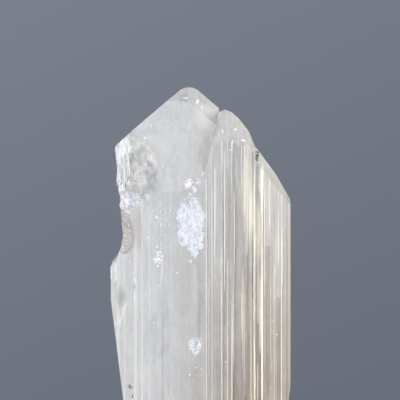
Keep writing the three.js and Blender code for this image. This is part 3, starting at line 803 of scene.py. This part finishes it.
def striae_tree(operation):
    """Long low ridges or grooves that run up a prism face, joined to or cut from the crystal."""
    kinds = {"Crystal": "Geometry", "Count": "Int", "Seed": "Int", "Carried": "Int", "Side": "Float"}
    kinds.update(dict.fromkeys(STRIA_SIZES, "Float"), Finish="Material")
    tree, add, given = sized_tree("striae_" + operation.lower(), kinds)
    half_width = add("ShaderNodeMath", {0: given["Width"], 1: 0.5}, MULTIPLY)
    half_relief = add("ShaderNodeMath", {0: given["Relief"], 1: 0.5}, MULTIPLY)
    ranges = (
        (given["Left"], given["Right"]),
        (given["Low"], given["High"]),
        (half_width, given["Width"]),
        (half_relief, given["Relief"]),
        (given["Shortest"], given["Longest"]),
    )
    drawn = []
    for offset, (low, high) in enumerate(ranges):
        seed = add("ShaderNodeMath", {0: given["Seed"], 1: offset}, {"operation": "ADD"})
        drawn.append(add("FunctionNodeRandomValue", {"Min": low, "Max": high, "Seed": seed}))
    across, height, width, relief, length = drawn
    points = add("GeometryNodePoints", {"Count": given["Count"]})
    outside = add("ShaderNodeMath", {0: given["Side"], 1: OUTSIDE * MM}, MULTIPLY)
    inward = add("ShaderNodeMath", {0: given["Side"], 1: -1.0}, MULTIPLY)
    start = add("ShaderNodeCombineXYZ", {"X": across, "Y": outside, "Z": height})
    way = add("ShaderNodeCombineXYZ", {"Y": inward})
    ray = {"Source Position": start, "Ray Direction": way, "Ray Length": RAY_LENGTH}
    hit = add("GeometryNodeRaycast", {"Target Geometry": given["Crystal"], **ray}).outputs
    normal = add("ShaderNodeSeparateXYZ", {0: hit["Hit Normal"]}).outputs
    lean = add("ShaderNodeMath", {0: normal["Z"]}, {"operation": "ABSOLUTE"})
    upright = add("FunctionNodeCompare", {"A": lean, "B": LEAN}, {"operation": "LESS_THAN"})
    # Each stria ends below the roof over it and above the base's rim.
    touched = add("ShaderNodeSeparateXYZ", {0: hit["Hit Position"]}).outputs
    depth = add("ShaderNodeMath", {0: inward, 1: BEHIND, 2: touched["Y"]}, MULTIPLY_ADD)
    above = add("ShaderNodeCombineXYZ", {"X": touched["X"], "Y": depth, "Z": ABOVE})
    ray = {"Source Position": above, "Ray Direction": (0, 0, -1), "Ray Length": RAY_LENGTH}
    top_hit = add("GeometryNodeRaycast", {"Target Geometry": given["Crystal"], **ray})
    roof = add("ShaderNodeSeparateXYZ", {0: top_hit.outputs["Hit Position"]}).outputs
    ceiling = add("ShaderNodeMath", {0: roof["Z"], 1: ROOF_GAP}, {"operation": "SUBTRACT"})
    wanted_top = add("ShaderNodeMath", {0: length, 1: 0.5, 2: height}, MULTIPLY_ADD)
    wanted_foot = add("ShaderNodeMath", {0: length, 1: -0.5, 2: height}, MULTIPLY_ADD)
    top = add("ShaderNodeMath", {0: wanted_top, 1: ceiling}, {"operation": "MINIMUM"})
    foot = add("ShaderNodeMath", {0: wanted_foot, 1: LOWEST_FOOT}, {"operation": "MAXIMUM"})
    room = add("ShaderNodeMath", {0: top, 1: foot}, {"operation": "SUBTRACT"})
    both_ends = add("ShaderNodeMath", {0: top, 1: foot}, {"operation": "ADD"})
    middle = add("ShaderNodeMath", {0: both_ends, 1: 0.5}, MULTIPLY)
    long_enough = add("FunctionNodeCompare", {"A": room, "B": SHORTEST_STRIA}, {"operation": "GREATER_THAN"})
    chosen = add("FunctionNodeBooleanMath", {0: upright, 1: long_enough}, {"operation": "AND"})
    seat = add("ShaderNodeCombineXYZ", {"X": touched["X"], "Y": touched["Y"], "Z": middle})
    seated = add("GeometryNodeSetPosition", {"Geometry": points, "Position": seat})
    turn = add(
        "FunctionNodeAxesToRotation",
        {"Primary Axis": (0, 0, 1), "Secondary Axis": hit["Hit Normal"]},
        {"primary_axis": "Z", "secondary_axis": "Y"},
    )
    stretch = add("ShaderNodeCombineXYZ", {"X": width, "Y": relief, "Z": room})
    spindle = add("GeometryNodeMeshUVSphere", {"Segments": 4, "Rings": 8, "Radius": 0.5})
    spindle = add(
        "GeometryNodeStoreNamedAttribute",
        {"Geometry": spindle, "Name": "finish", "Value": given["Carried"]},
        {"data_type": "INT", "domain": "FACE"},
    )
    ridges = add(
        "GeometryNodeInstanceOnPoints",
        {"Points": seated, "Selection": chosen, "Instance": spindle, "Rotation": turn, "Scale": stretch},
    )
    joined = add("GeometryNodeMeshBoolean", None, {"operation": operation, "solver": "MANIFOLD"})
    tree.links.new(given["Crystal"], joined.inputs[0 if operation == "DIFFERENCE" else 1])
    tree.links.new(ridges.outputs[0], joined.inputs[1])
    real = add("GeometryNodeRealizeInstances", {"Geometry": joined})
    finished = add("GeometryNodeSetMaterial", {"Geometry": real, "Material": given["Finish"]})
    add("NodeGroupOutput", {0: finished})
    return tree


def grain_tree():
    """Small angular grains scattered over an oval patch, each seated on the surface behind it."""
    kinds = {"Grains": "Geometry", "Crystal": "Object", "Count": "Int", "Seed": "Int"}
    kinds.update(dict.fromkeys((*GRAIN_SIZES, "Flatness"), "Float"), Finish="Material")
    tree, add, given = sized_tree("scattered_grains", kinds)
    crystal = add("GeometryNodeObjectInfo", {"Object": given["Crystal"]}, {"transform_space": "ORIGINAL"})
    sizes = (given["Smallest"], given["Largest"])
    drawn = []
    for offset, (low, high) in enumerate(((0.0, math.tau), (0.0, 1.0), (0.0, math.tau), sizes, sizes)):
        seed = add("ShaderNodeMath", {0: given["Seed"], 1: offset}, {"operation": "ADD"})
        drawn.append(add("FunctionNodeRandomValue", {"Min": low, "Max": high, "Seed": seed}))
    bearing, reach, spin, length, breadth = drawn
    start = [0.0, -OUTSIDE * MM, 0.0]
    for axis, operation, way in ((0, "SINE", "Across"), (2, "COSINE", "Up")):
        side = add("ShaderNodeMath", {0: bearing}, {"operation": operation})
        away = add("ShaderNodeMath", {0: side, 1: reach}, MULTIPLY)
        start[axis] = add("ShaderNodeMath", {0: away, 1: given["Spread " + way], 2: given[way]}, MULTIPLY_ADD)
    source = add("ShaderNodeCombineXYZ", dict(enumerate(start)))
    points = add("GeometryNodePoints", {"Count": given["Count"]})
    ray = {"Source Position": source, "Ray Direction": (0, 1, 0), "Ray Length": RAY_LENGTH}
    hit = add("GeometryNodeRaycast", {"Target Geometry": crystal.outputs["Geometry"], **ray}).outputs
    seated = add("GeometryNodeSetPosition", {"Geometry": points, "Position": hit["Hit Position"]})
    upright = add("FunctionNodeAlignRotationToVector", {"Vector": hit["Hit Normal"]}, {"axis": "Z"})
    twist = add("ShaderNodeCombineXYZ", {"Z": spin})
    turn = add(
        "FunctionNodeRotateRotation", {"Rotation": upright, "Rotate By": twist}, {"rotation_space": "LOCAL"}
    )
    thickness = add("ShaderNodeMath", {0: breadth, 1: given["Flatness"]}, MULTIPLY)
    stretch = add("ShaderNodeCombineXYZ", {"X": length, "Y": breadth, "Z": thickness})
    pebble = add("GeometryNodeMeshIcoSphere", {"Radius": 0.5, "Subdivisions": 1})
    placing = {"Points": seated, "Selection": hit["Is Hit"], "Instance": pebble}
    scattered = add("GeometryNodeInstanceOnPoints", {**placing, "Rotation": turn, "Scale": stretch})
    both = add("GeometryNodeJoinGeometry", {0: given["Grains"]})
    tree.links.new(scattered.outputs[0], both.inputs[0])
    real = add("GeometryNodeRealizeInstances", {"Geometry": both})
    finished = add("GeometryNodeSetMaterial", {"Geometry": real, "Material": given["Finish"]})
    add("NodeGroupOutput", {0: finished})
    return tree


def run_tree(piece, tree, values):
    """Runs a node tree on a piece and keeps the result as its plain mesh."""
    modifier = piece.modifiers.new(tree.name, "NODES")
    modifier.node_group = tree
    for socket in tree.interface.items_tree:
        if socket.in_out == "INPUT" and socket.name in values:
            modifier[socket.identifier] = values[socket.name]
    keep_result(piece, modifier)


def scatter(name, material, patches, flatness, seed):
    """One piece made of all the patches of one kind of grain."""
    piece = new_piece(name)
    tree = grain_tree()
    for place, (*sizes, count) in enumerate(patches):
        values = {label: size * MM for label, size in zip(GRAIN_SIZES, sizes)}
        values.update(Crystal=bpy.data.objects[CRYSTAL], Count=count, Seed=seed + 10 * place)
        values.update(Flatness=flatness, Finish=material)
        run_tree(piece, tree, values)
    piece.data.materials.clear()
    piece.data.materials.append(material)
    piece.data.polygons.foreach_set("material_index", [0] * len(piece.data.polygons))
    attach(piece, "root")


MERGE_DISTANCE = 0.0002 * MM  # corners of the solid's loose triangles that are one point
SHARP_ANGLE = math.radians(40)  # edges sharper than this stay crisp


class DanburiteSettings(bpy.types.PropertyGroup):
    """Sizes that a user may change."""

    striae_share: bpy.props.FloatProperty(
        name="Striae share",
        description="Share of the fine striae that are made",
        default=1.0,
        min=0.0,
        max=2.0,
        subtype="FACTOR",
    )
    stria_width: bpy.props.FloatProperty(
        name="Stria width", description="Width of the unit stria", default=1 * MM, unit="LENGTH"
    )
    floor_colour: bpy.props.FloatVectorProperty(
        name="Floor colour",
        description="Colour of the studio floor",
        default=linear("#d9dadb")[:3],
        subtype="COLOR",
    )


class DANBURITE_OT_crystal(bpy.types.Operator):
    """Builds the grown-together crystals with their striae and broken surfaces"""

    bl_idname = "danburite.crystal"
    bl_label = "Crystal"

    def execute(self, context):
        settings = context.scene.danburite
        noise.seed_set(RAGGED_SEED)
        crystal = new_piece(CRYSTAL)
        shape = bmesh.new()
        shape.from_mesh(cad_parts[NODE].data)
        bmesh.ops.remove_doubles(shape, verts=shape.verts, dist=MERGE_DISTANCE)
        dress_surface(shape)
        # The booleans below number the materials anew, so each face carries its finish as an attribute.
        carried = shape.faces.layers.int.new("finish")
        for face in shape.faces:
            face[carried] = face.material_index
        shape.to_mesh(crystal.data)
        shape.free()
        deepen_risers(crystal)
        for scoop in SCOOPS:
            scoop_out(crystal, *scoop)
        finishes = [danburite(name) for name in LOOKS]
        trees = {operation: striae_tree(operation) for operation in ("UNION", "DIFFERENCE")}
        for operation, finish, count, seed, side, *sizes in STRIAE:
            values = {label: size * MM for label, size in zip(STRIA_SIZES, sizes)}
            values["Width"] *= settings.stria_width / MM
            values.update(Count=round(count * settings.striae_share), Seed=seed, Side=float(side))
            values.update(Carried=finish, Finish=finishes[finish])
            run_tree(crystal, trees[operation], values)
        crystal.data.materials.clear()
        for finish in finishes:
            crystal.data.materials.append(finish)
        shape = bmesh.new()
        shape.from_mesh(crystal.data)
        drop_loose_shells(shape)
        carried = shape.faces.layers.int["finish"]
        for face in shape.faces:
            face.material_index = face[carried]
            face.smooth = face.material_index in (GLASSY, STAINED)
        for edge in shape.edges:
            edge.smooth = len(edge.link_faces) == 2 and edge.calc_face_angle() < SHARP_ANGLE
        shape.to_mesh(crystal.data)
        shape.free()
        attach(crystal, "root")
        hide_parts(NODE)
        return {"FINISHED"}


class DANBURITE_OT_grains(bpy.types.Operator):
    """Scatters the dark and brown grains, the white flecks and the crushed chips over the crystal"""

    bl_idname = "danburite.grains"
    bl_label = "Grains, flecks and chips"

    def execute(self, context):
        dark = grain_material("dark_green_mineral_grains", "#23291f", "#4f5747", 0.5)
        brown = grain_material("brown_iron_stain_grains", "#6d5a3d", "#93815f", 0.6)
        white = grain_material("white_danburite_chips", "#dfe4ea", "#f4f6f9", 0.3)
        crushed = grain_material("crushed_danburite_chips", "#dde1e7", "#f8faff", 0.3)
        # The flatness is the thickness as a share of the breadth, and the last number is the first seed.
        scatter("dark_mineral_grains", dark, DARK_GRAINS, 0.5, 100)
        scatter("brown_mineral_grains", brown, BROWN_GRAINS, 0.4, 900)
        scatter("white_flecks", white, WHITE_FLECKS, 0.25, 500)
        scatter("crushed_chips", crushed, CRUSHED_CHIPS, 0.45, 2000)
        return {"FINISHED"}


# ---------------- stage

FRAME_HEIGHT = 56 * MM  # what the picture shows from bottom to top
FRAME_CENTRE = Vector((-0.07 * MM, -4 * MM, 40 * MM))
LENS = 180.0
SENSOR = 36.0
FLOOR_RADIUS = 110 * MM
LIGHT_AIM = Vector((0, 0, 34 * MM))

# Soft lights: bearing from the camera's side towards the right, height, distance, size, watts, colour.
SOFT_LIGHTS = {
    "key_soft": (-32, 16, 0.32, (0.30, 0.26), 0.78, "#fff6ea"),
    "top_soft": (30, 62, 0.30, (0.24, 0.24), 0.16, "#ffffff"),
    "right_front_soft": (42, 10, 0.34, (0.20, 0.34), 0.60, "#fafaff"),
    "right_edge_strip": (101, 8, 0.30, (0.10, 0.30), 1.2, "#fff6e0"),
    "left_soft": (-84, 10, 0.30, (0.14, 0.30), 0.17, "#ffffff"),
    "back_soft": (172, 38, 0.36, (0.30, 0.24), 0.26, "#f6f8ff"),
}


def add_soft_light(name, bearing, height, distance, size, watts, colour):
    light = bpy.data.lights.new(name, "AREA")
    light.shape = "RECTANGLE"
    light.size, light.size_y = size
    light.energy = watts
    light.color = linear(colour)[:3]
    lamp = bpy.data.objects.new(name, light)
    side, up = math.radians(bearing), math.radians(height)
    toward = Vector((math.sin(side) * math.cos(up), -math.cos(side) * math.cos(up), math.sin(up)))
    lamp.location = LIGHT_AIM + toward * distance
    lamp.rotation_euler = toward.to_track_quat("Z", "Y").to_euler()
    lamp.visible_camera = False
    bpy.context.scene.collection.objects.link(lamp)


def add_camera():
    camera = bpy.data.objects.new("camera", bpy.data.cameras.new("camera"))
    camera.data.lens = LENS
    camera.data.sensor_width = SENSOR
    distance = FRAME_HEIGHT / 2 / (SENSOR / 2 / LENS)
    camera.location = FRAME_CENTRE - Vector((0, distance, 0))
    camera.rotation_euler = (math.radians(90), 0, 0)
    camera.data.clip_start = 10 * MM
    bpy.context.scene.collection.objects.link(camera)
    bpy.context.scene.camera = camera


def add_floor(colour):
    floor = new_piece("floor")
    disc = bmesh.new()
    bmesh.ops.create_circle(disc, cap_ends=True, segments=96, radius=FLOOR_RADIUS)
    disc.to_mesh(floor.data)
    disc.free()
    floor.data.materials.append(matte_paper(colour))


def add_world():
    """A plain grey-blue surround, a little darker towards the bottom and the right."""
    world = bpy.data.worlds.new("grey_blue_surround")
    add = emptied(world)
    direction = add("ShaderNodeTexCoord").outputs["Generated"]
    split = add("ShaderNodeSeparateXYZ", {0: direction}).outputs
    height, sideways = (
        add("ShaderNodeMapRange", {"Value": split[axis], "From Min": -0.1, "From Max": 0.1})
        for axis in "ZX"
    )
    colour = add("ShaderNodeMix", {"Factor": height, "A": "#6b727e", "B": "#787f8b"}, COLOURS)
    darker = add("ShaderNodeMapRange", {"Value": sideways, "To Min": 1.04, "To Max": 0.94})
    background = add("ShaderNodeBackground", {"Color": colour, "Strength": darker})
    add("ShaderNodeOutputWorld", {"Surface": background})
    bpy.context.scene.world = world


class DANBURITE_OT_studio(bpy.types.Operator):
    """Sets up the pale floor, the soft studio lights, the plain surround and the camera"""

    bl_idname = "danburite.studio"
    bl_label = "Studio"

    def execute(self, context):
        context.scene.view_settings.view_transform = "Standard"
        add_world()
        add_floor(context.scene.danburite.floor_colour)
        add_camera()
        for name, values in SOFT_LIGHTS.items():
            add_soft_light(name, *values)
        return {"FINISHED"}


OPERATORS = (DANBURITE_OT_crystal, DANBURITE_OT_grains, DANBURITE_OT_studio)


class DANBURITE_PT_sidebar(bpy.types.Panel):
    """Lists the settings and what can be built"""

    bl_idname = "DANBURITE_PT_sidebar"
    bl_label = "Danburite"
    bl_space_type = "VIEW_3D"
    bl_region_type = "UI"
    bl_category = "Danburite"

    def draw(self, context):
        settings = context.scene.danburite
        for name in ("striae_share", "stria_width", "floor_colour"):
            self.layout.prop(settings, name)
        for operator in OPERATORS:
            self.layout.operator(operator.bl_idname)


CLASSES = (DanburiteSettings, *OPERATORS, DANBURITE_PT_sidebar)


def register():
    for item in CLASSES:
        bpy.utils.register_class(item)
    bpy.types.Scene.danburite = bpy.props.PointerProperty(type=DanburiteSettings)


def unregister():
    del bpy.types.Scene.danburite
    for item in reversed(CLASSES):
        bpy.utils.unregister_class(item)


def main():
    register()
    bpy.ops.danburite.crystal()
    bpy.ops.danburite.grains()
    bpy.ops.danburite.studio()


if __name__ == "__main__":
    main()
